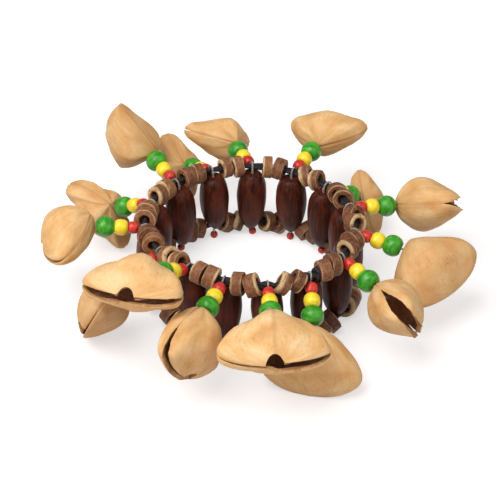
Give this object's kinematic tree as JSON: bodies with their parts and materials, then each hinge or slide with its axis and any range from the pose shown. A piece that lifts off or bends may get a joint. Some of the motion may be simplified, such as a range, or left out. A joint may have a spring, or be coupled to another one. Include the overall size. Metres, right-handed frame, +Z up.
{
  "type": "seed pod shaker bracelet",
  "caption": "Rattle bracelet: upright dark seeds between two elastic cords of shell discs, with threads of painted beads that dangle hollow split nut-shell pods to clack together.",
  "frame": {"origin": "on the axis of the ring, on the surface that the bracelet lies on", "axes": "+Z up along the axis of the ring, -Y towards the picture's camera, +X to the camera's right"},
  "size_m": [0.1448, 0.142, 0.0461],
  "materials": {
    "nut_shell": "tan nut shell, smooth and half matt",
    "seed": "dark brown seed coat with a satin sheen",
    "painted_wood": "glossy paint in red, yellow and green",
    "shell_disc": "sawn coconut shell, dull brown with pale rims",
    "elastic": "black woven elastic, matt"
  },
  "bodies": {
    "ring": {"upper_cord": "shell_disc", "lower_cord": "shell_disc", "elastic_knot": "elastic", "seed_01": "seed", "seed_02": "seed", "seed_03": "seed", "seed_04": "seed", "seed_05": "seed", "seed_06": "seed", "seed_07": "seed", "seed_08": "seed", "seed_09": "seed", "seed_10": "seed", "seed_11": "seed", "seed_12": "seed", "seed_13": "seed", "seed_14": "seed", "seed_15": "seed"},
    "string_01": {"bead_string_01": "painted_wood"},
    "pod_01": {"pod_01": "nut_shell"},
    "string_02": {"bead_string_02": "painted_wood"},
    "pod_02": {"pod_02": "nut_shell"},
    "string_03": {"bead_string_03": "painted_wood"},
    "pod_03": {"pod_03": "nut_shell"},
    "string_04": {"bead_string_04": "painted_wood"},
    "pod_04": {"pod_04": "nut_shell"},
    "string_05": {"bead_string_05": "painted_wood"},
    "pod_05": {"pod_05": "nut_shell"},
    "string_06": {"bead_string_06": "painted_wood"},
    "pod_06": {"pod_06": "nut_shell"},
    "string_07": {"bead_string_07": "painted_wood"},
    "pod_07": {"pod_07": "nut_shell"},
    "string_08": {"bead_string_08": "painted_wood"},
    "pod_08": {"pod_08": "nut_shell"},
    "string_09": {"bead_string_09": "painted_wood"},
    "pod_09": {"pod_09": "nut_shell"},
    "string_10": {"bead_string_10": "painted_wood"},
    "pod_10": {"pod_10": "nut_shell"},
    "string_11": {"bead_string_11": "painted_wood"},
    "pod_11": {"pod_11": "nut_shell"},
    "string_12": {"bead_string_12": "painted_wood"},
    "pod_12": {"pod_12": "nut_shell"},
    "string_13": {"bead_string_13": "painted_wood"},
    "pod_13": {"pod_13": "nut_shell"},
    "string_14": {"bead_string_14": "painted_wood"},
    "pod_14": {"pod_14": "nut_shell"},
    "string_15": {"bead_string_15": "painted_wood"},
    "pod_15": {"pod_15": "nut_shell"}
  },
  "joints": [
    {"name": "swing_01", "type": "hinge", "parent": "ring", "child": "string_01", "pos_m": [0.00123, 0.03528, 0.0273], "axis": [0.9994, -0.0349, 0], "range_deg": [-6, 40]},
    {"name": "twist_01", "type": "hinge", "parent": "string_01", "child": "pod_01", "pos_m": [-0.00767, 0.05624, 0.02491], "axis": [-0.3886, 0.9155, -0.1045], "range_deg": [-10, 30]},
    {"name": "swing_02", "type": "hinge", "parent": "ring", "child": "string_02", "pos_m": [0.01547, 0.03173, 0.0273], "axis": [0.8988, -0.4384, 0], "range_deg": [-12, 40]},
    {"name": "twist_02", "type": "hinge", "parent": "string_02", "child": "pod_02", "pos_m": [0.02655, 0.05171, 0.0289], "axis": [0.4836, 0.8725, 0.0698], "range_deg": [-30, 30]},
    {"name": "swing_03", "type": "hinge", "parent": "ring", "child": "string_03", "pos_m": [0.02704, 0.02269, 0.0273], "axis": [0.6428, -0.766, 0], "range_deg": [-6, 40]},
    {"name": "twist_03", "type": "hinge", "parent": "string_03", "child": "pod_03", "pos_m": [0.04126, 0.0338, 0.0132], "axis": [0.621, 0.4851, -0.6157], "range_deg": [-30, 30]},
    {"name": "swing_04", "type": "hinge", "parent": "ring", "child": "string_04", "pos_m": [0.03393, 0.00973, 0.0273], "axis": [0.2756, -0.9613, 0], "range_deg": [-12, 40]},
    {"name": "twist_04", "type": "hinge", "parent": "string_04", "child": "pod_04", "pos_m": [0.05573, 0.01598, 0.02411], "axis": [0.9519, 0.273, -0.1392], "range_deg": [-30, 30]},
    {"name": "swing_05", "type": "hinge", "parent": "ring", "child": "string_05", "pos_m": [0.03496, -0.00491, 0.0273], "axis": [-0.1392, -0.9903, 0], "range_deg": [-12, 40]},
    {"name": "twist_05", "type": "hinge", "parent": "string_05", "child": "pod_05", "pos_m": [0.05628, -0.01226, 0.02332], "axis": [0.9312, -0.3206, -0.1736], "range_deg": [-30, 30]},
    {"name": "swing_06", "type": "hinge", "parent": "ring", "child": "string_06", "pos_m": [0.02993, -0.0187, 0.0273], "axis": [-0.5299, -0.848, 0], "range_deg": [-12, 40]},
    {"name": "twist_06", "type": "hinge", "parent": "string_06", "child": "pod_06", "pos_m": [0.04389, -0.03657, 0.02411], "axis": [0.6097, -0.7803, -0.1392], "range_deg": [-30, 30]},
    {"name": "swing_07", "type": "hinge", "parent": "ring", "child": "string_07", "pos_m": [0.01968, -0.02917, 0.0273], "axis": [-0.829, -0.5592, 0], "range_deg": [-8, 14]},
    {"name": "twist_07", "type": "hinge", "parent": "string_07", "child": "pod_07", "pos_m": [0.02035, -0.04837, 0.01483], "axis": [0.0293, -0.8382, -0.5446], "range_deg": [-30, 30]},
    {"name": "swing_08", "type": "hinge", "parent": "ring", "child": "string_08", "pos_m": [0.00599, -0.03397, 0.0273], "axis": [-0.9848, -0.1736, 0], "range_deg": [-10, 40]},
    {"name": "twist_08", "type": "hinge", "parent": "string_08", "child": "pod_08", "pos_m": [0.00719, -0.05683, 0.0269], "axis": [0.0523, -0.9985, -0.0175], "range_deg": [-30, 30]},
    {"name": "swing_09", "type": "hinge", "parent": "ring", "child": "string_09", "pos_m": [-0.00789, -0.03165, 0.0273], "axis": [-0.9703, 0.2419, 0], "range_deg": [-12, 5]},
    {"name": "twist_09", "type": "hinge", "parent": "string_09", "child": "pod_09", "pos_m": [-0.01645, -0.05283, 0.0257], "axis": [-0.3737, -0.9249, -0.0698], "range_deg": [-30, 30]},
    {"name": "swing_10", "type": "hinge", "parent": "ring", "child": "string_10", "pos_m": [-0.01927, -0.02466, 0.0273], "axis": [-0.788, 0.6157, 0], "range_deg": [-5, 40]},
    {"name": "twist_10", "type": "hinge", "parent": "string_10", "child": "pod_10", "pos_m": [-0.03292, -0.04093, 0.03588], "axis": [-0.596, -0.7103, 0.3746], "range_deg": [-15, 30]},
    {"name": "swing_11", "type": "hinge", "parent": "ring", "child": "string_11", "pos_m": [-0.0288, -0.01531, 0.0273], "axis": [-0.4695, 0.8829, 0], "range_deg": [-12, 18]},
    {"name": "twist_11", "type": "hinge", "parent": "string_11", "child": "pod_11", "pos_m": [-0.04562, -0.02542, 0.01551], "axis": [-0.7347, -0.4415, -0.515], "range_deg": [-30, 30]},
    {"name": "swing_12", "type": "hinge", "parent": "ring", "child": "string_12", "pos_m": [-0.0344, -0.00241, 0.0273], "axis": [-0.0698, 0.9976, 0], "range_deg": [-12, 40]},
    {"name": "twist_12", "type": "hinge", "parent": "string_12", "child": "pod_12", "pos_m": [-0.05719, -0.0036, 0.0293], "axis": [-0.9948, -0.0521, 0.0872], "range_deg": [-30, 30]},
    {"name": "swing_13", "type": "hinge", "parent": "ring", "child": "string_13", "pos_m": [-0.03307, 0.01204, 0.0273], "axis": [0.342, 0.9397, 0], "range_deg": [-12, 40]},
    {"name": "twist_13", "type": "hinge", "parent": "string_13", "child": "pod_13", "pos_m": [-0.05013, 0.02354, 0.01726], "axis": [-0.7451, 0.5026, -0.4384], "range_deg": [-30, 30]},
    {"name": "swing_14", "type": "hinge", "parent": "ring", "child": "string_14", "pos_m": [-0.02539, 0.02452, 0.0273], "axis": [0.6947, 0.7193, 0], "range_deg": [-9, 40]},
    {"name": "twist_14", "type": "hinge", "parent": "string_14", "child": "pod_14", "pos_m": [-0.03741, 0.04375, 0.03049], "axis": [-0.5248, 0.8398, 0.1392], "range_deg": [-30, 30]},
    {"name": "swing_15", "type": "hinge", "parent": "ring", "child": "string_15", "pos_m": [-0.01322, 0.03273, 0.0273], "axis": [0.9272, 0.3746, 0], "range_deg": [-12, 5]},
    {"name": "twist_15", "type": "hinge", "parent": "string_15", "child": "pod_15", "pos_m": [-0.02483, 0.04994, 0.01762], "axis": [-0.5068, 0.7514, -0.4226], "range_deg": [-30, 30]}
  ]
}
